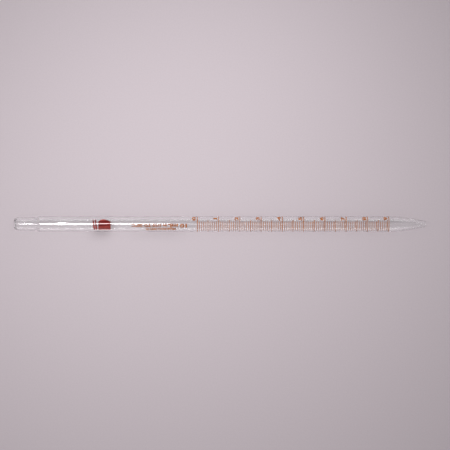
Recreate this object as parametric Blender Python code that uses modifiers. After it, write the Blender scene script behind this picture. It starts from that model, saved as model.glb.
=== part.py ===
"""A 10 mL measuring pipette of clear glass, lying on its side with its mouthpiece at -X.

The glass is turned in three lengths: mouthpiece, measuring tube and delivery tip. The fired
enamel on it is separate: two narrow red blow-out lines, a wide red code mark, and an amber scale
of long rings, half lines and numerals. Everything is drawn round the axis of a pipette that
stands on its tip, and an empty then lays the whole assembly down.
"""

import math

import bmesh
import bpy
from mathutils import Matrix

MM = 0.001

# Driving dimensions in millimetres. Heights run up the axis from the tip.
LENGTH = 310.0
TUBE_RADIUS = 5.75
BORE_RADIUS = 4.46
MOUTHPIECE_LENGTH = 20.5
TIP_LENGTH = 22.4
GLASS_SEAM = 0.05

# The mouthpiece, as (depth below its rim, radius). Its neck stops a cotton plug.
MOUTH_OUTSIDE = [(0.3, 4.2), (3.2, 4.95), (9.0, 5.1), (14.0, 5.1), (16.6, 4.7), (19.4, TUBE_RADIUS)]
MOUTH_INSIDE = [(0.3, 3.15), (4.0, 3.75), (13.2, 3.8), (16.6, 3.15), (20.0, BORE_RADIUS)]
RIM_ROUNDING = 0.3
EASE_STEPS = 3

# The tip's taper bulges a little, and the last millilitre fits between the 9 mL ring and its end.
TIP_END_RADIUS = 2.1
ORIFICE_RADIUS = 0.75
TAPER_POWER = 1.25
TAPER_STEPS = 8
TIP_ROUNDING = 0.35

# Enamel lies on the glass with a hair's breadth between the two solids.
ENAMEL_LIFT = 0.03
ENAMEL_THICKNESS = 0.05
ENAMEL_RADIUS = TUBE_RADIUS + ENAMEL_LIFT

# The scale: one ring per millilitre, from 0 near the middle down to 9 above the tip.
ZERO_HEIGHT = 172.0
MILLILITRE = 16.0
RING_COUNT = 10
LINE_WIDTH = 0.3
HALF_LINE_TURN = 240.0
HALF_LINE_START = -205.0

# Numerals stand upright on the mouthpiece side of their rings.
# Their bearings, like those of the lines, are degrees round the tube from its top when it lies.
NUMERAL_HEIGHT = 2.8
NUMERAL_BROADENING = 2.2
NUMERAL_LIFT = 1.2
NUMERAL_BEARING = 50.0
NUMERAL_COLUMN = 0.62
NUMERAL_WELD = 0.02 * MM

# The red marks, as (height of the middle, width). They cover only the side that faces up.
CODE_MARK = (241.7, 9.3)
UPPER_BLOW_OUT_LINE = (249.7, 0.9)
LOWER_BLOW_OUT_LINE = (248.1, 0.9)
RED_START = -45.0
RED_TURN = 80.0

# Round pieces share their facets, turned so that one facet faces straight down when it lies.
SEGMENTS = 36
FACET = 360.0 / SEGMENTS
FACET_TURN = math.radians(FACET / 2)
SMOOTH_LIMIT = math.radians(30.0)
WELD = 0.001 * MM

AMBER = (0.46, 0.13, 0.03, 1.0)
RED = (0.27, 0.006, 0.006, 1.0)
GLASS_TINT = (0.96, 0.97, 0.97, 1.0)
GLASS_IOR = 1.47


def clear_scene():
    """Start from an empty scene."""
    for thing in list(bpy.data.objects):
        bpy.data.objects.remove(thing)


def enamel(name, colour):
    """A fired enamel: opaque, with a soft gloss."""
    material = bpy.data.materials.new(name)
    material.use_nodes = True
    surface = material.node_tree.nodes["Principled BSDF"].inputs
    surface["Base Color"].default_value = colour
    surface["Roughness"].default_value = 0.35
    surface["Metallic"].default_value = 0.0
    return material


def glass(name):
    """Clear laboratory glass."""
    material = bpy.data.materials.new(name)
    material.use_nodes = True
    surface = material.node_tree.nodes["Principled BSDF"].inputs
    surface["Base Color"].default_value = GLASS_TINT
    surface["Roughness"].default_value = 0.02
    surface["Metallic"].default_value = 0.0
    surface["Transmission Weight"].default_value = 1.0
    surface["IOR"].default_value = GLASS_IOR
    return material


def make_collection(name):
    """A collection for the pieces of the pipette."""
    collection = bpy.data.collections.new(name)
    bpy.context.scene.collection.children.link(collection)
    return collection


def make_axis(collection):
    """The pipette's axis: +Z of a pipette standing on its tip, laid down along -X."""
    axis = bpy.data.objects.new("pipette_axis", None)
    collection.objects.link(axis)
    resting_height = (ENAMEL_RADIUS + ENAMEL_THICKNESS) * math.cos(FACET_TURN)
    axis.location = (LENGTH / 2 * MM, 0.0, resting_height * MM)
    axis.rotation_euler = (0.0, math.radians(-90.0), 0.0)
    return axis


def link_piece(name, mesh, material, assembly):
    """Make a named piece on the pipette's axis."""
    collection, axis = assembly
    mesh.materials.append(material)
    piece = bpy.data.objects.new(name, mesh)
    collection.objects.link(piece)
    piece.parent = axis
    return piece


def shade(mesh):
    """Smooth the round faces and keep the square edges crisp."""
    mesh.shade_smooth()
    mesh.set_sharp_from_angle(angle=SMOOTH_LIMIT)


def settle(piece):
    """Turn a piece's modifiers into plain mesh and shade it."""
    bpy.context.view_layer.update()
    evaluated = piece.evaluated_get(bpy.context.evaluated_depsgraph_get())
    solid = bpy.data.meshes.new_from_object(evaluated)
    solid.name = piece.name
    piece.modifiers.clear()
    piece.data = solid
    shade(solid)


def profile_mesh(name, outline, closed):
    """A line of (radius, height) points in the XZ plane, in metres."""
    shape = bmesh.new()
    corners = [shape.verts.new((radius * MM, 0.0, height * MM)) for radius, height in outline]
    for first, second in zip(corners, corners[1:]):
        shape.edges.new((first, second))
    if closed:
        shape.edges.new((corners[-1], corners[0]))
    mesh = bpy.data.meshes.new(name)
    shape.to_mesh(mesh)
    shape.free()
    return mesh


def add_screw(piece, turn):
    """Turn the profile round the axis through the given number of degrees."""
    screw = piece.modifiers.new("turned", "SCREW")
    screw.axis = "Z"
    screw.angle = math.radians(turn)
    screw.steps = round(turn / FACET)
    screw.render_steps = screw.steps
    screw.use_merge_vertices = True
    screw.merge_threshold = WELD


def turned_glass(name, outline, material, assembly):
    """A glass piece turned from a closed outline."""
    piece = link_piece(name, profile_mesh(name, outline, True), material, assembly)
    piece.rotation_euler.z = FACET_TURN
    add_screw(piece, 360.0)
    settle(piece)


def add_thickness(piece):
    """Give a piece drawn on the tube's surface the thickness of the enamel."""
    skin = piece.modifiers.new("thickness", "SOLIDIFY")
    skin.thickness = ENAMEL_THICKNESS * MM
    skin.offset = 1.0


def enamel_line(name, middle, width, material, assembly, start=FACET / 2, turn=360.0):
    """A painted line round the tube: a strip of its surface from a bearing, through a turn."""
    strip = [(ENAMEL_RADIUS, middle + width / 2), (ENAMEL_RADIUS, middle - width / 2)]
    piece = link_piece(name, profile_mesh(name, strip, False), material, assembly)
    piece.rotation_euler.z = math.radians(start)
    add_screw(piece, turn)
    add_thickness(piece)
    settle(piece)


def rounded(centre_radius, centre_height, size, first, last, steps=2):
    """Points of an arc in the profile, by its angles in degrees from the outward direction."""
    points = []
    for step in range(steps + 1):
        angle = math.radians(first + (last - first) * step / steps)
        points.append((centre_radius + size * math.cos(angle), centre_height + size * math.sin(angle)))
    return points


def eased(stations):
    """Radii that flow from each station to the next, from the rim down."""
    points = []
    for (depth, radius), (next_depth, next_radius) in zip(stations, stations[1:]):
        for step in range(1, EASE_STEPS + 1):
            share = step / EASE_STEPS
            blend = (1 - math.cos(math.pi * share)) / 2
            height = LENGTH - depth - (next_depth - depth) * share
            points.append((radius + (next_radius - radius) * blend, height))
    return points


def make_mouthpiece(material, assembly):
    """The fire-polished mouth end, which narrows at a neck before it meets the tube."""
    rim_outside = MOUTH_OUTSIDE[0][1] - RIM_ROUNDING
    rim_inside = MOUTH_INSIDE[0][1] + RIM_ROUNDING
    rim_middle = LENGTH - RIM_ROUNDING
    foot = LENGTH - MOUTHPIECE_LENGTH
    outline = rounded(rim_outside, rim_middle, RIM_ROUNDING, 90.0, 0.0)
    outline += eased(MOUTH_OUTSIDE)
    outline += [(TUBE_RADIUS, foot), (BORE_RADIUS, foot)]
    outline += reversed(eased(MOUTH_INSIDE))
    outline += rounded(rim_inside, rim_middle, RIM_ROUNDING, 180.0, 90.0)
    turned_glass("mouthpiece", outline, material, assembly)


def make_measuring_tube(material, assembly):
    """The straight tube that carries the scale."""
    top = LENGTH - MOUTHPIECE_LENGTH - GLASS_SEAM
    foot = TIP_LENGTH + GLASS_SEAM
    outline = [(TUBE_RADIUS, top), (TUBE_RADIUS, foot), (BORE_RADIUS, foot), (BORE_RADIUS, top)]
    turned_glass("measuring_tube", outline, material, assembly)


def tapered(wide, narrow, lowest):
    """Points down the tip's taper, from a wide radius to a narrow one."""
    points = []
    for step in range(TAPER_STEPS + 1):
        height = TIP_LENGTH + (lowest - TIP_LENGTH) * step / TAPER_STEPS
        drop = (1 - height / TIP_LENGTH) ** TAPER_POWER
        points.append((wide - (wide - narrow) * drop, height))
    return points


def make_delivery_tip(material, assembly):
    """The drawn tip, ground flat at its orifice."""
    outline = tapered(TUBE_RADIUS, TIP_END_RADIUS, TIP_ROUNDING)
    outline += rounded(TIP_END_RADIUS - TIP_ROUNDING, TIP_ROUNDING, TIP_ROUNDING, -30.0, -90.0)
    outline += reversed(tapered(BORE_RADIUS, ORIFICE_RADIUS, 0.0))
    turned_glass("delivery_tip", outline, material, assembly)


def make_red_marks(material, assembly):
    """The code mark and the two lines of a blow-out pipette."""
    reach = (RED_START, RED_TURN)
    enamel_line("code_mark", *CODE_MARK, material, assembly, *reach)
    enamel_line("blow_out_line_upper", *UPPER_BLOW_OUT_LINE, material, assembly, *reach)
    enamel_line("blow_out_line_lower", *LOWER_BLOW_OUT_LINE, material, assembly, *reach)


def make_scale(material, assembly):
    """A full ring at each millilitre and a shorter line at each half."""
    for count in range(RING_COUNT):
        height = ZERO_HEIGHT - count * MILLILITRE
        enamel_line(f"ring_{count}_ml", height, LINE_WIDTH, material, assembly)
        if count + 1 < RING_COUNT:
            halfway = height - MILLILITRE / 2
            name = f"half_line_{count}_5_ml"
            enamel_line(name, halfway, LINE_WIDTH, material, assembly, HALF_LINE_START, HALF_LINE_TURN)


def flat_numeral(digit):
    """A numeral as a flat mesh, centred across and standing on y = 0, at its real height."""
    writing = bpy.data.curves.new(f"writing_{digit}", "FONT")
    writing.body = digit
    writing.resolution_u = 2
    sign = bpy.data.objects.new(f"writing_{digit}", writing)
    bpy.context.scene.collection.objects.link(sign)
    bpy.context.view_layer.update()
    evaluated = sign.evaluated_get(bpy.context.evaluated_depsgraph_get())
    mesh = bpy.data.meshes.new_from_object(evaluated)
    bpy.data.objects.remove(sign)
    bpy.data.curves.remove(writing)
    across = [corner.co.x for corner in mesh.vertices]
    upward = [corner.co.y for corner in mesh.vertices]
    size = NUMERAL_HEIGHT * MM / (max(upward) - min(upward))
    middle = (min(across) + max(across)) / 2
    scaling = Matrix.Diagonal((size * NUMERAL_BROADENING, size, size, 1.0))
    mesh.transform(scaling @ Matrix.Translation((-middle, -min(upward), 0.0)))
    return mesh


def wrap_round_tube(mesh, bearing, foot):
    """Cut a flat mesh into narrow columns and lay it round the tube, upright at a bearing."""
    shape = bmesh.new()
    shape.from_mesh(mesh)
    bmesh.ops.remove_doubles(shape, verts=shape.verts, dist=NUMERAL_WELD)
    reach = max(abs(corner.co.x) for corner in shape.verts)
    columns = int(reach / (NUMERAL_COLUMN * MM))
    for column in range(-columns, columns + 1):
        everything = shape.verts[:] + shape.edges[:] + shape.faces[:]
        place = (column * NUMERAL_COLUMN * MM, 0.0, 0.0)
        bmesh.ops.bisect_plane(
            shape, geom=everything, dist=NUMERAL_WELD, plane_co=place, plane_no=(1, 0, 0)
        )
    bmesh.ops.remove_doubles(shape, verts=shape.verts, dist=NUMERAL_WELD)
    bmesh.ops.triangulate(shape, faces=shape.faces)
    radius = ENAMEL_RADIUS * MM
    for corner in shape.verts:
        angle = math.radians(bearing) + corner.co.x / radius
        corner.co = (radius * math.cos(angle), radius * math.sin(angle), foot * MM + corner.co.y)
    shape.to_mesh(mesh)
    shape.free()


def make_numerals(material, assembly):
    """The numeral of each millilitre, beside its ring."""
    for count in range(RING_COUNT):
        mesh = flat_numeral(str(count))
        foot = ZERO_HEIGHT - count * MILLILITRE + NUMERAL_LIFT
        wrap_round_tube(mesh, NUMERAL_BEARING, foot)
        piece = link_piece(f"numeral_{count}", mesh, material, assembly)
        add_thickness(piece)
        settle(piece)


def main():
    clear_scene()
    collection = make_collection("measuring_pipette")
    assembly = (collection, make_axis(collection))
    clear_glass = glass("clear_glass")
    make_mouthpiece(clear_glass, assembly)
    make_measuring_tube(clear_glass, assembly)
    make_delivery_tip(clear_glass, assembly)
    make_red_marks(enamel("red_enamel", RED), assembly)
    amber_enamel = enamel("amber_enamel", AMBER)
    make_scale(amber_enamel, assembly)
    make_numerals(amber_enamel, assembly)


main()
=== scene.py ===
"""Looks of a 10 mL measuring pipette: one drawn glass, fired enamel marks, a floor and soft light.

Lengths are in metres, except where a comment says millimetres. A place on the glass is the
distance along the tube (x) and a bearing in degrees round it: 0 on top, positive towards +Y, which
is the back.
"""

import math

import bmesh
import bpy
from mathutils import Matrix, Vector, noise


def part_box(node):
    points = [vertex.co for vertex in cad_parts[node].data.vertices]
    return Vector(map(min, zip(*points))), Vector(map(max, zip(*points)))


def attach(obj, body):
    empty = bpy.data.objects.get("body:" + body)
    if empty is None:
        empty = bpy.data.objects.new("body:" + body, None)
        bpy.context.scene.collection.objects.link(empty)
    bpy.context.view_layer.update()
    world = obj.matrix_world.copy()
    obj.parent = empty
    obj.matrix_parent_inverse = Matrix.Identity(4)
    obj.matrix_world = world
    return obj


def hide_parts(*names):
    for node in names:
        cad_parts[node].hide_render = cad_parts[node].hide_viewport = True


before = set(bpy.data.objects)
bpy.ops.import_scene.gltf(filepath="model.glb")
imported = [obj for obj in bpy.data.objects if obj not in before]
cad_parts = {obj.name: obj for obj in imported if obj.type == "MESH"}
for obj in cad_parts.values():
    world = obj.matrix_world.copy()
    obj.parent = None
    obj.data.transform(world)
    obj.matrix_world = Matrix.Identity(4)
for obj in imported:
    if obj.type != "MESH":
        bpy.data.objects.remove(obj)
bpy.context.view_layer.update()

MM = 0.001

# The frame's tube is a prism, so its box gives the distance to a flat, not to a corner.
FRAME_FACETS = 36
MOUTH_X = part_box("mouthpiece")[0].x
TAPER_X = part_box("delivery_tip")[0].x
TIP_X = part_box("delivery_tip")[1].x
TUBE_LOW, TUBE_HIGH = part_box("measuring_tube")
AXIS_Z = (TUBE_LOW.z + TUBE_HIGH.z) / 2
TUBE_RADIUS = (TUBE_HIGH.z - TUBE_LOW.z) / 2 / math.cos(math.pi / FRAME_FACETS)
AXIS = Vector((0.0, 0.0, AXIS_Z))

# The glass. Its mouth is given as (distance from the mouth, radius) in millimetres.
BORE_RADIUS = 4.46 * MM
GLASS_SIDES = 144
ROUNDING_STEPS = 6
RIM_ROUNDING = 1.0 * MM
MOUTH_OUTSIDE = [
    (1.0, 4.3),
    (2.8, 5.06),
    (8.0, 5.12),
    (14.4, 5.12),
    (16.2, 4.88),
    (18.8, TUBE_RADIUS / MM),
]
MOUTH_INSIDE = [(1.0, 2.3), (2.4, 3.75), (14.2, 3.8), (16.4, 3.3), (19.4, BORE_RADIUS / MM)]
EASE_STEPS = 9
STRAIGHT_STEP = 7.0 * MM
STRAIGHT_HOLD = 0.2 * MM

# Shallow flaws pressed into the hot glass: (distance from the mouth, bearing, length, breadth,
# depth), in millimetres and degrees, and the stretch of the tube that is modelled finely for them.
FLAWS = [(36.6, 5.0, 15.0, 5.6, 0.36), (36.4, -24.0, 9.0, 3.6, 0.40)]
FLAW_REACH = (29.0, 44.2)
FLAW_STEP = 0.5 * MM

# The tip. Its bore tapers to a jet, which closes in to the orifice: (distance from the end, radius)
# in millimetres.
TAPER_POWER = 1.25
TAPER_STEPS = 26
TIP_END_RADIUS = 2.1 * MM
TIP_ROUNDING = 0.8 * MM
TIP_ROUNDING_START = 20.0
ORIFICE_RADIUS = 0.75 * MM
JET = [(5.0, 1.5), (1.6, ORIFICE_RADIUS / MM), (0.0, ORIFICE_RADIUS / MM)]

# The finish of the glass: its tint, its roughness from clean to filmed, and the stretches of a
# noise, of values from 0 to 1, over which smears and specks of film appear.
GLASS_TINT = (0.985, 0.99, 0.99, 1.0)
GLASS_IOR = 1.47
GLASS_ROUGHNESS = (0.1, 0.14)
SMEARS_APPEAR = (0.52, 0.75)
SPECKS_APPEAR = (0.70, 0.76)

# Where most of a noise's values lie.
NOISE_SPAN = (0.3, 0.7)

# The share of a lamp's light that passes each surface, from met square on (0) to edge on (1).
# The front gets back what the wall throws forward, so it passes more. It gives way to the back
# between two places across the tube.
BACK_PASSES = [(0.0, 0.99), (0.2, 0.985), (0.5, 0.86), (1.0, 0.6)]
FRONT_PASSES = [(0.0, 1.0), (0.2, 1.0), (0.5, 1.0), (1.0, 0.97)]
FRONT_TO_BACK = (-1.0 * MM, 2.0 * MM)

# Where a Mix node that is set to colours keeps its two colours, and its result.
MIX_COLOUR_A = 6
MIX_COLOUR_B = 7
MIX_COLOUR_RESULT = 2

# Enamel stands on the glass with a hair's breadth below it.
ENAMEL_FOOT = TUBE_RADIUS + 0.004 * MM
AMBER_SHADES = [(0.32, (0.27, 0.070, 0.005)), (0.5, (0.38, 0.108, 0.009)), (0.68, (0.50, 0.165, 0.02))]
AMBER_ROUGHNESS = (0.28, 0.5)

# The lines of the scale. A line's section is given in shares of its width and thickness, and its
# reach as the bearing where it starts and how far it turns.
LINE_SECTION = [
    (-0.5, 0.0),
    (-0.42, 0.6),
    (-0.2, 0.92),
    (0.0, 1.0),
    (0.2, 0.92),
    (0.42, 0.6),
    (0.5, 0.0),
]
LINE_THICKNESS = 0.035 * MM
LINE_WIDTH = 0.42 * MM
LINE_END_WIDTH = 0.45
LINE_END_MARGIN = 0.002
LINE_STEP = 3.0
SHORT_LINE_STEP = 7.5
LONG_LINE = (0.0, 360.0)
HALF_LINE = (-205.0, 238.0)
SHORT_LINE = (-62.0, 82.0)
DIVISIONS = 10
RING_COUNT = 10

# How a fired line wanders: how much, and how quickly along the line.
LINE_SWELL = 0.22
LINE_SWELL_PACE = 0.9
LINE_DRIFT = 0.02 * MM
LINE_DRIFT_PACE = 0.35
LINE_DRIFT_START = Vector((7.0, 0.0, 0.0))

# Numerals and inscriptions.
NUMERAL_HEIGHT = 2.8 * MM
NUMERAL_BROADENING = 2.2
NUMERAL_BEARING = 46.0
LETTER_BOLDNESS = 0.045
LETTER_SMOOTHNESS = 4
LETTER_COLUMN = 0.22 * MM
LETTER_WELD = 0.004 * MM
ENAMEL_THICKNESS = 0.03 * MM

# What a pipette says of itself: its volume and divisions, its use, and its kind. Each line of words
# has its start from the mouth, its length and its height in millimetres, and the bearing of its foot.
INSCRIPTIONS = [
    ("volume_words", "10 mL", 130.2, 14.4, 3.1, 2.0),
    ("delivery_words", "in 1/10 TD 20°C", 115.0, 26.2, 2.5, 1.0),
    ("kind_words", "MEASURING PIPETTE", 121.8, 22.4, 2.3, -29.0),
]

# The wide red mark: the bearings it was brushed between, the bearing above which it draws in to a
# round end, and how narrow that end is. Its wobbles are sizes and how quickly they come.
CODE_MARK_REACH = (-49.0, 38.0)
CODE_MARK_SHOULDER = 13.0
CODE_MARK_END_WIDTH = 0.08
CODE_MARK_LEAN = -0.9 * MM
CODE_MARK_GRID = (60, 80)
CODE_MARK_WOBBLE = 0.18 * MM
CODE_MARK_WOBBLE_PACE = (9.0, 3.0)
CODE_MARK_RAG = 1.6
CODE_MARK_RAG_PACE = 9.0

# The two narrow red lines: broad where the brush landed, narrow where it lifted, and a little slanted.
BLOW_OUT_REACH = (-50.0, 36.0)
BLOW_OUT_LANDED = 1.5 * MM
BLOW_OUT_LIFTED = 0.9 * MM
BLOW_OUT_SLANT = -1.05 * MM
BLOW_OUT_END_WIDTH = 0.25
BLOW_OUT_END_FILL = 9.0
BLOW_OUT_GRID = (8, 90)
BLOW_OUT_WOBBLE = 0.07 * MM
BLOW_OUT_WOBBLE_PACE = (11.0, 2.0)

# The red enamel's colour across the marks, from the front edge of the brushing to the back.
RED_DEEP = (0.115, 0.0004, 0.0004)
RED_FULL = (0.25, 0.002, 0.002)
RED_THIN = (0.42, 0.06, 0.05)
RED_EDGE = (0.55, 0.16, 0.15)
RED_STREAKS = [
    (0.02, RED_EDGE),
    (0.08, RED_FULL),
    (0.17, RED_DEEP),
    (0.31, RED_THIN),
    (0.46, RED_DEEP),
    (0.62, RED_FULL),
    (0.85, RED_DEEP),
    (0.98, RED_THIN),
]
STREAK_WANDER = (-0.07, 0.07)
RED_ROUGHNESS = (0.16, 0.36)

# The paper.
PAPER_SHADES = [(0.3, (0.565, 0.500, 0.535)), (0.7, (0.590, 0.522, 0.558))]
PAPER_HALF_WIDTH = 4.0

# Flat lamps: (name, start and end along the tube, bearing, height, width, power).
STRIPS_MEET = -0.0503
PANELS = [
    ("strip_lamp", -0.2093, STRIPS_MEET, 5.5, 0.40, 0.057, 0.65),
    ("faint_strip_lamp", STRIPS_MEET, 0.17, -4.5, 0.40, 0.07, 0.085),
    ("front_reflector", -0.6, 0.6, -84.0, 0.12, 0.235, 3.6),
    ("back_reflector", -0.6, 0.6, 78.0, 0.22, 0.44, 1.6),
]

# The lamp that pools its light on the paper, and the light all round.
POOL_X = 0.006
POOL_BEARING = 30.0
POOL_HEIGHT = 0.40
POOL_SPREAD = 88.0
POOL_POWER = 3.85
POOL_SOFTNESS = 0.15
SURROUND_COLOUR = (1.0, 0.985, 0.99, 1.0)
SURROUND_STRENGTH = 0.3

# The camera looks straight down on the middle of what it sees.
SENSOR_WIDTH = 36.0
CAMERA_DISTANCE = 1.2
VIEW_WIDTH = 0.3394
VIEW_X = 3.8 * MM
VIEW_Y = -0.75 * MM


def bearing_of(point):
    """The bearing of a point round the tube, in radians."""
    return math.atan2(point.y, point.z - AXIS_Z)


def on_tube(x, bearing, radius):
    """A point at a distance along the tube, a bearing in radians and a radius."""
    return Vector((x, radius * math.sin(bearing), AXIS_Z + radius * math.cos(bearing)))


def wobble(size, x, y, z):
    """A smooth wander of about a size, by a place in a field of noise."""
    return size * noise.noise(Vector((x, y, z)))


# Shader nodes.


def set_values(node, values):
    """Give a node's sockets their values, by name."""
    for title, value in values.items():
        node.inputs[title].default_value = value


def object_place(tree):
    """The X, Y and Z of a place on the piece."""
    place = tree.nodes.new("ShaderNodeTexCoord")
    parts = tree.nodes.new("ShaderNodeSeparateXYZ")
    tree.links.new(place.outputs["Object"], parts.inputs["Vector"])
    return parts.outputs


def stretched_noise(tree, stretch, scale, detail, roughness=0.5):
    """Noise on object coordinates, stretched along each axis by its own factor."""
    place = tree.nodes.new("ShaderNodeTexCoord")
    mapping = tree.nodes.new("ShaderNodeMapping")
    mapping.inputs["Scale"].default_value = stretch
    cloud = tree.nodes.new("ShaderNodeTexNoise")
    set_values(cloud, {"Scale": scale, "Detail": detail, "Roughness": roughness})
    tree.links.new(place.outputs["Object"], mapping.inputs["Vector"])
    tree.links.new(mapping.outputs["Vector"], cloud.inputs["Vector"])
    return cloud.outputs["Fac"]


def remap(tree, value, source, target):
    """A value carried from one (low, high) range to another, clamped."""
    node = tree.nodes.new("ShaderNodeMapRange")
    tree.links.new(value, node.inputs["Value"])
    set_values(node, {"From Min": source[0], "From Max": source[1]})
    set_values(node, {"To Min": target[0], "To Max": target[1]})
    return node.outputs["Result"]


def calculate(tree, operation, first, second):
    """A Math node on two sockets or numbers."""
    node = tree.nodes.new("ShaderNodeMath")
    node.operation = operation
    for socket, value in zip(node.inputs, (first, second)):
        if isinstance(value, (int, float)):
            socket.default_value = value
        else:
            tree.links.new(value, socket)
    return node.outputs["Value"]


def colour_ramp(tree, value, stops):
    """Colours along a value."""
    ramp = tree.nodes.new("ShaderNodeValToRGB")
    while len(ramp.color_ramp.elements) < len(stops):
        ramp.color_ramp.elements.new(0.5)
    for element, (position, colour) in zip(ramp.color_ramp.elements, stops):
        element.position = position
        element.color = (*colour, 1.0)
    tree.links.new(value, ramp.inputs["Fac"])
    return ramp.outputs["Color"]


def greys(stops):
    """Grey colours for a ramp, from (position, brightness) pairs."""
    return [(position, (bright, bright, bright)) for position, bright in stops]


def add_bump(tree, shader, height, strength, distance):
    """A Bump node under a shader's normal."""
    bump = tree.nodes.new("ShaderNodeBump")
    set_values(bump, {"Strength": strength, "Distance": distance})
    tree.links.new(height, bump.inputs["Height"])
    tree.links.new(bump.outputs["Normal"], shader.inputs["Normal"])


# Shader groups that several materials share.


def new_group(name, inputs, outputs):
    """An empty shader group with float inputs and outputs."""
    group = bpy.data.node_groups.new(name, "ShaderNodeTree")
    for title, value in inputs.items():
        socket = group.interface.new_socket(title, in_out="INPUT", socket_type="NodeSocketFloat")
        socket.default_value = value
    for title in outputs:
        group.interface.new_socket(title, in_out="OUTPUT", socket_type="NodeSocketFloat")
    return group, group.nodes.new("NodeGroupInput"), group.nodes.new("NodeGroupOutput")


def use_group(tree, group, values):
    """A node of a shared group with its own values."""
    node = tree.nodes.new("ShaderNodeGroup")
    node.node_tree = group
    set_values(node, values)
    return node


def make_handling_group():
    """Where fingers and cloths have left a faint film: soft smears with fine specks of dust."""
    group, entry, leave = new_group("handling_film", {"Smears": 1.0, "Specks": 1.0}, ["Film"])
    smear = stretched_noise(group, stretch=(0.35, 1.0, 1.0), scale=260.0, detail=4.0)
    smear = remap(group, smear, SMEARS_APPEAR, (0.0, 1.0))
    speck = stretched_noise(group, stretch=(1.0, 1.0, 1.0), scale=5200.0, detail=2.0)
    speck = remap(group, speck, SPECKS_APPEAR, (0.0, 1.0))
    smear = calculate(group, "MULTIPLY", smear, entry.outputs["Smears"])
    speck = calculate(group, "MULTIPLY", speck, entry.outputs["Specks"])
    film = calculate(group, "ADD", smear, speck)
    group.links.new(film, leave.inputs["Film"])
    return group


def make_firing_group():
    """How evenly an enamel was laid and fired: broad drift and fine grain."""
    group, entry, leave = new_group(
        "firing_drift", {"Drift Scale": 400.0, "Grain Scale": 6000.0}, ["Drift", "Grain"]
    )
    place = group.nodes.new("ShaderNodeTexCoord")
    for title in ("Drift", "Grain"):
        cloud = group.nodes.new("ShaderNodeTexNoise")
        cloud.inputs["Detail"].default_value = 3.0
        group.links.new(place.outputs["Object"], cloud.inputs["Vector"])
        group.links.new(entry.outputs[f"{title} Scale"], cloud.inputs["Scale"])
        group.links.new(cloud.outputs["Fac"], leave.inputs[title])
    return group


# Materials.


def new_material(name, values):
    """A material, its tree and its Principled shader with its plain values."""
    material = bpy.data.materials.new(name)
    material.use_nodes = True
    shader = material.node_tree.nodes["Principled BSDF"]
    set_values(shader, values)
    return material, material.node_tree, shader


def make_glass(handling):
    """Clear drawn glass under a faint film from handling."""
    finish = {"Metallic": 0.0, "Transmission Weight": 1.0, "IOR": GLASS_IOR, "Base Color": GLASS_TINT}
    material, tree, shader = new_material("clear_glass", finish)
    film = use_group(tree, handling, {"Smears": 0.5, "Specks": 0.6}).outputs["Film"]
    tree.links.new(remap(tree, film, (0.0, 1.0), GLASS_ROUGHNESS), shader.inputs["Roughness"])
    let_lamps_through(tree, shader)
    return material


def let_lamps_through(tree, shader):
    """Pass lamp light on to what lies behind the glass, less of it where the wall is met edge on."""
    path = tree.nodes.new("ShaderNodeLightPath")
    shadow, diffuse = path.outputs["Is Shadow Ray"], path.outputs["Is Diffuse Ray"]
    lamp_light = calculate(tree, "MAXIMUM", shadow, diffuse)
    edge = tree.nodes.new("ShaderNodeLayerWeight")
    edge.inputs["Blend"].default_value = 0.5
    passed = tree.nodes.new("ShaderNodeMix")
    passed.data_type = "RGBA"
    side = remap(tree, object_place(tree)["Y"], FRONT_TO_BACK, (0.0, 1.0))
    front = colour_ramp(tree, edge.outputs["Facing"], greys(FRONT_PASSES))
    back = colour_ramp(tree, edge.outputs["Facing"], greys(BACK_PASSES))
    tree.links.new(side, passed.inputs["Factor"])
    tree.links.new(front, passed.inputs[MIX_COLOUR_A])
    tree.links.new(back, passed.inputs[MIX_COLOUR_B])
    clear = tree.nodes.new("ShaderNodeBsdfTransparent")
    tree.links.new(passed.outputs[MIX_COLOUR_RESULT], clear.inputs["Color"])
    choice = tree.nodes.new("ShaderNodeMixShader")
    share, seen, lit_through = choice.inputs
    tree.links.new(lamp_light, share)
    tree.links.new(shader.outputs["BSDF"], seen)
    tree.links.new(clear.outputs["BSDF"], lit_through)
    tree.links.new(choice.outputs["Shader"], tree.nodes["Material Output"].inputs["Surface"])


def make_amber_enamel(firing):
    """Amber-brown scale enamel, in shades that drift from place to place."""
    finish = {"Metallic": 0.0, "Specular IOR Level": 0.5}
    material, tree, shader = new_material("amber_enamel", finish)
    laid = use_group(tree, firing, {"Drift Scale": 500.0, "Grain Scale": 9000.0})
    colour = colour_ramp(tree, laid.outputs["Drift"], AMBER_SHADES)
    rough = remap(tree, laid.outputs["Grain"], NOISE_SPAN, AMBER_ROUGHNESS)
    tree.links.new(colour, shader.inputs["Base Color"])
    tree.links.new(rough, shader.inputs["Roughness"])
    add_bump(tree, shader, laid.outputs["Grain"], strength=0.3, distance=0.01 * MM)
    return material


def brushed_share(tree):
    """How far across the brushing a point lies, from its front edge (0) to its back (1), wandering."""
    place = object_place(tree)
    above = calculate(tree, "SUBTRACT", place["Z"], AXIS_Z)
    bearing = calculate(tree, "ARCTAN2", place["Y"], above)
    first, last = (math.radians(bound) for bound in BLOW_OUT_REACH)
    share = remap(tree, bearing, (first, last), (0.0, 1.0))
    wander = stretched_noise(tree, stretch=(0.16, 1.0, 1.0), scale=900.0, detail=3.0, roughness=0.6)
    wander = remap(tree, wander, NOISE_SPAN, STREAK_WANDER)
    return calculate(tree, "ADD", share, wander)


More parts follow.
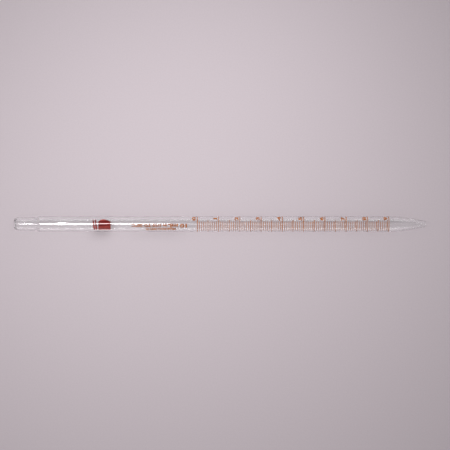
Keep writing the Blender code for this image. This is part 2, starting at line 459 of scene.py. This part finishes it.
def make_red_enamel(firing):
    """Brushed red enamel: dark where it pooled, thin and pale along the brush's streaks."""
    finish = {"Metallic": 0.0, "Specular IOR Level": 0.1}
    finish |= {"Coat Weight": 1.0, "Coat Roughness": 0.08, "Coat IOR": 1.6}
    material, tree, shader = new_material("red_enamel", finish)
    share = brushed_share(tree)
    laid = use_group(tree, firing, {"Drift Scale": 700.0, "Grain Scale": 7000.0})
    rough = remap(tree, laid.outputs["Drift"], NOISE_SPAN, RED_ROUGHNESS)
    tree.links.new(colour_ramp(tree, share, RED_STREAKS), shader.inputs["Base Color"])
    tree.links.new(rough, shader.inputs["Roughness"])
    add_bump(tree, shader, share, strength=0.25, distance=0.02 * MM)
    return material


def make_paper():
    """The plain matt paper under the pipette."""
    finish = {"Roughness": 0.9, "Specular IOR Level": 0.15}
    material, tree, shader = new_material("plain_paper", finish)
    fibres = stretched_noise(tree, stretch=(1.0, 1.0, 1.0), scale=900.0, detail=4.0)
    tree.links.new(colour_ramp(tree, fibres, PAPER_SHADES), shader.inputs["Base Color"])
    return material


# Making and finishing pieces.


def place_mesh(name, shape, material):
    """Turn a bmesh into an object of one material, and free it."""
    mesh = bpy.data.meshes.new(name)
    shape.to_mesh(mesh)
    shape.free()
    mesh.materials.append(material)
    thing = bpy.data.objects.new(name, mesh)
    bpy.context.scene.collection.objects.link(thing)
    return thing


def seat_piece(piece, nodes):
    """Let a piece ride on the frame and stand for its nodes."""
    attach(piece, "root")
    if nodes:
        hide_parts(*nodes)


def finish_solid(name, shape, material, nodes, crease=30.0):
    """Turn a closed bmesh into a piece, smooth up to the angle of a crease."""
    bmesh.ops.recalc_face_normals(shape, faces=shape.faces)
    piece = place_mesh(name, shape, material)
    piece.data.shade_smooth()
    piece.data.set_sharp_from_angle(angle=math.radians(crease))
    seat_piece(piece, nodes)
    return piece


def finish_skin(name, shape, material, nodes):
    """Turn a thin skin of enamel into a piece, and give it its thickness."""
    orient_outward(shape)
    piece = place_mesh(name, shape, material)
    seat_piece(piece, nodes)
    body = piece.modifiers.new("enamel_thickness", "SOLIDIFY")
    body.thickness = ENAMEL_THICKNESS
    body.offset = 1.0


def orient_outward(shape):
    """Turn each face of a thin skin to face away from the axis."""
    for face in shape.faces:
        face.normal_update()
        outward = face.calc_center_median() - AXIS
        outward.x = 0.0
        if face.normal.dot(outward) < 0.0:
            face.normal_flip()


def outline_wire(points):
    """A bmesh of one closed outline, given as (x, radius) pairs above the axis."""
    shape = bmesh.new()
    corners = [shape.verts.new((x, 0.0, AXIS_Z + radius)) for x, radius in points]
    for first, second in zip(corners, corners[1:]):
        shape.edges.new((first, second))
    shape.edges.new((corners[-1], corners[0]))
    return shape


def spin_outline(shape, turn, steps):
    """Spin an outline round the tube's axis, towards +Y. A part turn gets its ends closed."""
    full = turn == 360.0
    bmesh.ops.spin(
        shape,
        geom=shape.verts[:] + shape.edges[:],
        cent=AXIS,
        axis=(1.0, 0.0, 0.0),
        angle=-math.radians(turn),
        steps=steps,
        use_merge=full,
        use_duplicate=False,
    )
    if not full:
        rims = [edge for edge in shape.edges if edge.is_boundary]
        bmesh.ops.holes_fill(shape, edges=rims, sides=0)


# The glass.


def eased(stations, start):
    """Points that flow from one (depth, radius) station in millimetres to the next."""
    points = []
    for (depth, radius), (next_depth, next_radius) in zip(stations, stations[1:]):
        for step in range(1, EASE_STEPS + 1):
            share = step / EASE_STEPS
            blend = (1 - math.cos(math.pi * share)) / 2
            x = start + (depth + (next_depth - depth) * share) * MM
            points.append((x, (radius + (next_radius - radius) * blend) * MM))
    return points


def evenly(start, end, step):
    """Places from one to another in even steps of about a length, without the first."""
    count = max(1, round((end - start) / step))
    return [start + (end - start) * share / count for share in range(1, count + 1)]


def straight(start, end, radius):
    """Points along a straight length, its ends held by a close pair so that it shades true."""
    flaw_start, flaw_end = (MOUTH_X + distance * MM for distance in FLAW_REACH)
    places = [start + STRAIGHT_HOLD]
    places += evenly(start + STRAIGHT_HOLD, flaw_start, STRAIGHT_STEP)
    places += evenly(flaw_start, flaw_end, FLAW_STEP)
    places += evenly(flaw_end, end - STRAIGHT_HOLD, STRAIGHT_STEP)
    return [(x, radius) for x in places]


def rounded(x, radius, size, first, last):
    """An arc of the outline: angles in degrees, 0 outward from the axis, 90 towards +X."""
    points = []
    for step in range(ROUNDING_STEPS + 1):
        angle = math.radians(first + (last - first) * step / ROUNDING_STEPS)
        points.append((x + size * math.sin(angle), radius + size * math.cos(angle)))
    return points


def taper_share(x):
    """How much of the tip's taper is done at a place: 0 where it starts, 1 at the tip's end."""
    return ((x - TAPER_X) / (TIP_X - TAPER_X)) ** TAPER_POWER


def tapered(wide, narrow, stop):
    """Points down the tip's bulging taper to where it stops."""
    points = []
    for step in range(TAPER_STEPS + 1):
        x = TAPER_X + (stop - TAPER_X) * step / TAPER_STEPS
        points.append((x, wide - (wide - narrow) * taper_share(x)))
    return points


def glass_outside():
    """The outline from the rim's middle, over the outside, to the tip's end."""
    radius = MOUTH_OUTSIDE[0][1] * MM - RIM_ROUNDING
    points = rounded(MOUTH_X + RIM_ROUNDING, radius, RIM_ROUNDING, -90.0, 0.0)
    points += eased(MOUTH_OUTSIDE, MOUTH_X)
    points += straight(points[-1][0], TAPER_X, TUBE_RADIUS)
    end_x = TIP_X - TIP_ROUNDING
    end_radius = TIP_END_RADIUS - TIP_ROUNDING
    points += tapered(TUBE_RADIUS, TIP_END_RADIUS, end_x)
    points += rounded(end_x, end_radius, TIP_ROUNDING, TIP_ROUNDING_START, 90.0)
    return points


def glass_inside():
    """The outline from the rim's middle, through the bore, to the tip's end."""
    radius = MOUTH_INSIDE[0][1] * MM + RIM_ROUNDING
    points = rounded(MOUTH_X + RIM_ROUNDING, radius, RIM_ROUNDING, -90.0, -180.0)
    points += eased(MOUTH_INSIDE, MOUTH_X)
    points += straight(points[-1][0], TAPER_X, BORE_RADIUS)
    jet_x = TIP_X - JET[0][0] * MM
    jet_radius = JET[0][1] * MM
    end_radius = BORE_RADIUS - (BORE_RADIUS - jet_radius) / taper_share(jet_x)
    points += tapered(BORE_RADIUS, end_radius, jet_x)
    points += eased([(-distance, radius) for distance, radius in JET], TIP_X)
    return points


def press_flaw(shape, distance, bearing, length, breadth, depth):
    """Press one shallow flaw into the wall of the glass."""
    for corner in shape.verts:
        along = (corner.co.x - MOUTH_X) / MM - distance
        turn = math.remainder(bearing_of(corner.co) - math.radians(bearing), math.tau)
        reach = math.hypot(along / (length / 2), turn * TUBE_RADIUS / MM / (breadth / 2))
        if reach < 1.0:
            inward = (AXIS - corner.co) * Vector((0.0, 1.0, 1.0))
            fall = (1.0 + math.cos(math.pi * reach)) / 2
            corner.co += inward.normalized() * depth * fall * MM


def make_pipette_glass(material):
    """The whole glass in one piece, from the fire-polished rim to the ground tip."""
    shape = outline_wire(glass_outside() + glass_inside()[::-1])
    spin_outline(shape, 360.0, GLASS_SIDES)
    bmesh.ops.remove_doubles(shape, verts=shape.verts, dist=0.0001 * MM)
    for flaw in FLAWS:
        press_flaw(shape, *flaw)
    nodes = ["mouthpiece", "measuring_tube", "delivery_tip"]
    finish_solid("pipette_glass", shape, material, nodes, crease=50.0)


# The lines of the scale.


def add_line(shape, middle, reach, step):
    """Add one domed line round the tube to a shape."""
    start, turn = reach
    section = [
        (middle + along * LINE_WIDTH, ENAMEL_FOOT + rise * LINE_THICKNESS)
        for along, rise in LINE_SECTION
    ]
    line = outline_wire(section)
    spin_outline(line, turn, round(turn / step))
    begin = Matrix.Rotation(-math.radians(start), 3, "X")
    bmesh.ops.rotate(line, verts=line.verts, cent=AXIS, matrix=begin)
    if turn < 360.0:
        draw_in_ends(line, middle, start, turn)
    vary_line(line, middle)
    join_shape(shape, line)


def draw_in_ends(line, middle, start, turn):
    """Draw the two ends of a part line in, so they finish round."""
    middle_bearing = math.radians(start + turn / 2)
    half = math.radians(turn / 2)
    for corner in line.verts:
        swing = abs(math.remainder(bearing_of(corner.co) - middle_bearing, math.tau))
        if swing > half - LINE_END_MARGIN:
            corner.co.x = middle + (corner.co.x - middle) * LINE_END_WIDTH


def vary_line(line, middle):
    """Let a line's width and place wander a little, as fired lines do."""
    for corner in line.verts:
        seat = Vector((middle / MM, corner.co.y / MM, corner.co.z / MM))
        swell = 1.0 + wobble(LINE_SWELL, *(seat * LINE_SWELL_PACE))
        drift = wobble(LINE_DRIFT, *(seat * LINE_DRIFT_PACE + LINE_DRIFT_START))
        corner.co.x = middle + (corner.co.x - middle) * swell + drift


def join_shape(shape, extra):
    """Copy a bmesh into another and free it."""
    mesh = bpy.data.meshes.new("joined_line")
    bmesh.ops.recalc_face_normals(extra, faces=extra.faces)
    extra.to_mesh(mesh)
    extra.free()
    shape.from_mesh(mesh)
    bpy.data.meshes.remove(mesh)


def middle_of(node):
    """A node's place along the tube."""
    low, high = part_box(node)
    return (low.x + high.x) / 2


def make_lines(name, places, reach, step, material, nodes):
    """One piece of amber lines at some places. Lines this fine shade nothing that the eye can see."""
    shape = bmesh.new()
    for place in places:
        add_line(shape, place, reach, step)
    piece = finish_solid(name, shape, material, nodes)
    piece.visible_shadow = False


def short_line_places(count):
    """Where the eight short lines lie between a ring, its half line and the next ring."""
    first = middle_of(f"ring_{count}_ml")
    space = middle_of(f"ring_{count + 1}_ml") - first
    between = [division for division in range(1, DIVISIONS) if division != DIVISIONS // 2]
    return [first + space * division / DIVISIONS for division in between]


def make_scale(material):
    """Ten long rings, nine half lines, and eight short lines in each millilitre."""
    for count in range(RING_COUNT):
        ring = f"ring_{count}_ml"
        name = f"long_line_{count}"
        make_lines(name, [middle_of(ring)], LONG_LINE, LINE_STEP, material, [ring])
    for count in range(RING_COUNT - 1):
        half = f"half_line_{count}_5_ml"
        name = f"middle_line_{count}"
        make_lines(name, [middle_of(half)], HALF_LINE, LINE_STEP, material, [half])
        name = f"short_lines_{count}"
        make_lines(name, short_line_places(count), SHORT_LINE, SHORT_LINE_STEP, material, [])


# Numerals and inscriptions.


def flat_writing(words):
    """Words as a flat mesh, standing on y = 0 and starting at x = 0."""
    writing = bpy.data.curves.new("writing", "FONT")
    writing.body = words
    writing.resolution_u = LETTER_SMOOTHNESS
    writing.offset = LETTER_BOLDNESS
    sign = bpy.data.objects.new("writing", writing)
    bpy.context.scene.collection.objects.link(sign)
    bpy.context.view_layer.update()
    evaluated = sign.evaluated_get(bpy.context.evaluated_depsgraph_get())
    mesh = bpy.data.meshes.new_from_object(evaluated)
    bpy.data.objects.remove(sign)
    bpy.data.curves.remove(writing)
    shape = bmesh.new()
    shape.from_mesh(mesh)
    bpy.data.meshes.remove(mesh)
    left = min(corner.co.x for corner in shape.verts)
    foot = min(corner.co.y for corner in shape.verts)
    bmesh.ops.translate(shape, verts=shape.verts, vec=-Vector((left, foot, 0.0)))
    return shape


def size_of(writing):
    """The width and height of a flat writing."""
    wide = max(corner.co.x for corner in writing.verts)
    tall = max(corner.co.y for corner in writing.verts)
    return wide, tall


def size_writing(shape, width, height):
    """Scale a flat writing to a width and a height."""
    wide, tall = size_of(shape)
    bmesh.ops.scale(shape, verts=shape.verts, vec=(width / wide, height / tall, 1.0))


def cut_columns(shape, direction):
    """Cut a flat writing into narrow columns across a direction, so that it can bend."""
    reach = max(corner.co.dot(direction) for corner in shape.verts)
    bmesh.ops.remove_doubles(shape, verts=shape.verts, dist=LETTER_WELD)
    for column in range(1, int(reach / LETTER_COLUMN) + 1):
        everything = shape.verts[:] + shape.edges[:] + shape.faces[:]
        place = direction * column * LETTER_COLUMN
        bmesh.ops.bisect_plane(
            shape, geom=everything, dist=LETTER_WELD, plane_co=place, plane_no=direction
        )


def lay_on_tube(shape, place):
    """Lay a flat skin on the tube. place turns its flat (x, y) into (x, bearing)."""
    for corner in shape.verts:
        x, bearing = place(corner.co.x, corner.co.y)
        corner.co = on_tube(x, bearing, ENAMEL_FOOT)


def make_numeral(count, material):
    """A numeral upright on the mouthpiece side of its ring."""
    node = f"numeral_{count}"
    top_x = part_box(node)[1].x
    shape = flat_writing(str(count))
    wide, tall = size_of(shape)
    width = wide * NUMERAL_HEIGHT / tall * NUMERAL_BROADENING
    size_writing(shape, width, NUMERAL_HEIGHT)
    cut_columns(shape, Vector((1.0, 0.0, 0.0)))
    middle = math.radians(NUMERAL_BEARING)

    def place(across, up):
        return top_x - up, middle + (across - width / 2) / TUBE_RADIUS

    lay_on_tube(shape, place)
    finish_skin(f"scale_numeral_{count}", shape, material, [node])


def make_inscription(name, words, start, length, height, foot, material):
    """A line of small lettering along the tube. It reads towards the mouthpiece."""
    shape = flat_writing(words)
    size_writing(shape, length * MM, height * MM)
    cut_columns(shape, Vector((0.0, 1.0, 0.0)))
    start_x = MOUTH_X + start * MM
    foot_bearing = math.radians(foot)

    def place(along, up):
        return start_x - along, foot_bearing - up / TUBE_RADIUS

    lay_on_tube(shape, place)
    finish_skin(name, shape, material, [])


# Red marks.


def flat_grid(columns, rows):
    """A flat grid of one unit, its middle at the origin."""
    shape = bmesh.new()
    bmesh.ops.create_grid(shape, x_segments=columns, y_segments=rows, size=0.5)
    return shape


def make_code_mark(material):
    """The wide red mark, brushed on by hand: full below, drawn to a round end above."""
    low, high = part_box("code_mark")
    middle = middle_of("code_mark")
    foot, top = (math.radians(bound) for bound in CODE_MARK_REACH)
    shoulder = math.radians(CODE_MARK_SHOULDER)
    round_pace, across_pace = CODE_MARK_WOBBLE_PACE

    def place(across, up):
        bearing = foot + (top - foot) * (up + 0.5)
        share = 1.0
        if bearing > shoulder:
            share = max(0.0, 1.0 - ((bearing - shoulder) / (top - shoulder)) ** 2)
        width = (high.x - low.x) * (CODE_MARK_END_WIDTH + (1.0 - CODE_MARK_END_WIDTH) * share)
        edge = wobble(CODE_MARK_WOBBLE, bearing * round_pace, across * across_pace, 1.0)
        lean = CODE_MARK_LEAN * (1.0 - share)
        rag = wobble(math.radians(CODE_MARK_RAG), across * CODE_MARK_RAG_PACE, 4.0, 0.0)
        return middle + across * width + edge + lean, bearing + rag

    shape = flat_grid(*CODE_MARK_GRID)
    lay_on_tube(shape, place)
    finish_skin("red_code_mark", shape, material, ["code_mark"])


def make_blow_out_line(node, material):
    """A narrow red line, broad where the brush landed, thin where it lifted, a little slanted."""
    middle = middle_of(node)
    foot, top = (math.radians(bound) for bound in BLOW_OUT_REACH)
    round_pace, across_pace = BLOW_OUT_WOBBLE_PACE

    def place(across, up):
        bearing = foot + (top - foot) * (up + 0.5)
        width = BLOW_OUT_LANDED + (BLOW_OUT_LIFTED - BLOW_OUT_LANDED) * (up + 0.5)
        fill = min(1.0, BLOW_OUT_END_WIDTH + BLOW_OUT_END_FILL * (0.5 - abs(up)))
        edge = wobble(BLOW_OUT_WOBBLE, bearing * round_pace, across * across_pace, middle / MM)
        return middle + across * width * fill + BLOW_OUT_SLANT * up + edge, bearing

    shape = flat_grid(*BLOW_OUT_GRID)
    lay_on_tube(shape, place)
    finish_skin(f"red_{node}", shape, material, [node])


# The stage.


def make_floor(material):
    """A wide sheet of plain paper."""
    shape = bmesh.new()
    bmesh.ops.create_grid(shape, x_segments=1, y_segments=1, size=PAPER_HALF_WIDTH)
    place_mesh("floor", shape, material)


def hang_lamp(name, lamp, x, bearing, height):
    """Hang a lamp over a place along the tube, off the upright by a bearing and tilted to match."""
    angle = math.radians(bearing)
    hung = bpy.data.objects.new(name, lamp)
    hung.location = (x, height * math.tan(angle), height)
    hung.rotation_euler = (-angle, 0.0, 0.0)
    hung.visible_camera = False
    bpy.context.scene.collection.objects.link(hung)
    return hung


def add_panel(name, start, end, bearing, height, width, power):
    """A flat lamp along the tube, from one place to another."""
    lamp = bpy.data.lights.new(name, "AREA")
    lamp.shape = "RECTANGLE"
    lamp.size = end - start
    lamp.size_y = width
    lamp.energy = power
    hang_lamp(name, lamp, (start + end) / 2, bearing, height)


def add_pool_lamp():
    """A soft spot that pools its light on the middle of the paper, and shows in no reflection."""
    lamp = bpy.data.lights.new("pool_lamp", "SPOT")
    lamp.energy = POOL_POWER
    lamp.spot_size = math.radians(POOL_SPREAD)
    lamp.spot_blend = 1.0
    lamp.shadow_soft_size = POOL_SOFTNESS
    spot = hang_lamp("pool_lamp", lamp, POOL_X, POOL_BEARING, POOL_HEIGHT)
    spot.visible_glossy = False
    spot.visible_transmission = False


def light_scene():
    """Strip lamps over the tube, a reflector on each side, a soft pool of light, a pale surround."""
    world = bpy.data.worlds.new("surround")
    world.use_nodes = True
    surround = world.node_tree.nodes["Background"]
    set_values(surround, {"Color": SURROUND_COLOUR, "Strength": SURROUND_STRENGTH})
    bpy.context.scene.world = world
    for panel in PANELS:
        add_panel(*panel)
    add_pool_lamp()


def make_camera():
    """A long lens straight above, so that the pipette nearly fills the width."""
    lens = bpy.data.cameras.new("camera")
    lens.sensor_width = SENSOR_WIDTH
    lens.lens = SENSOR_WIDTH * CAMERA_DISTANCE / VIEW_WIDTH
    lens.clip_start = 0.01
    lens.clip_end = 20.0
    camera = bpy.data.objects.new("camera", lens)
    camera.location = (VIEW_X, VIEW_Y, AXIS_Z + CAMERA_DISTANCE)
    bpy.context.scene.collection.objects.link(camera)
    bpy.context.scene.camera = camera


def main():
    """Make the glass, the marks on it, and the stage."""
    handling = make_handling_group()
    firing = make_firing_group()
    make_pipette_glass(make_glass(handling))
    amber = make_amber_enamel(firing)
    make_scale(amber)
    for count in range(RING_COUNT):
        make_numeral(count, amber)
    for inscription in INSCRIPTIONS:
        make_inscription(*inscription, amber)
    red = make_red_enamel(firing)
    make_code_mark(red)
    make_blow_out_line("blow_out_line_upper", red)
    make_blow_out_line("blow_out_line_lower", red)
    make_floor(make_paper())
    light_scene()
    make_camera()
    bpy.context.scene.view_settings.view_transform = "Standard"


main()
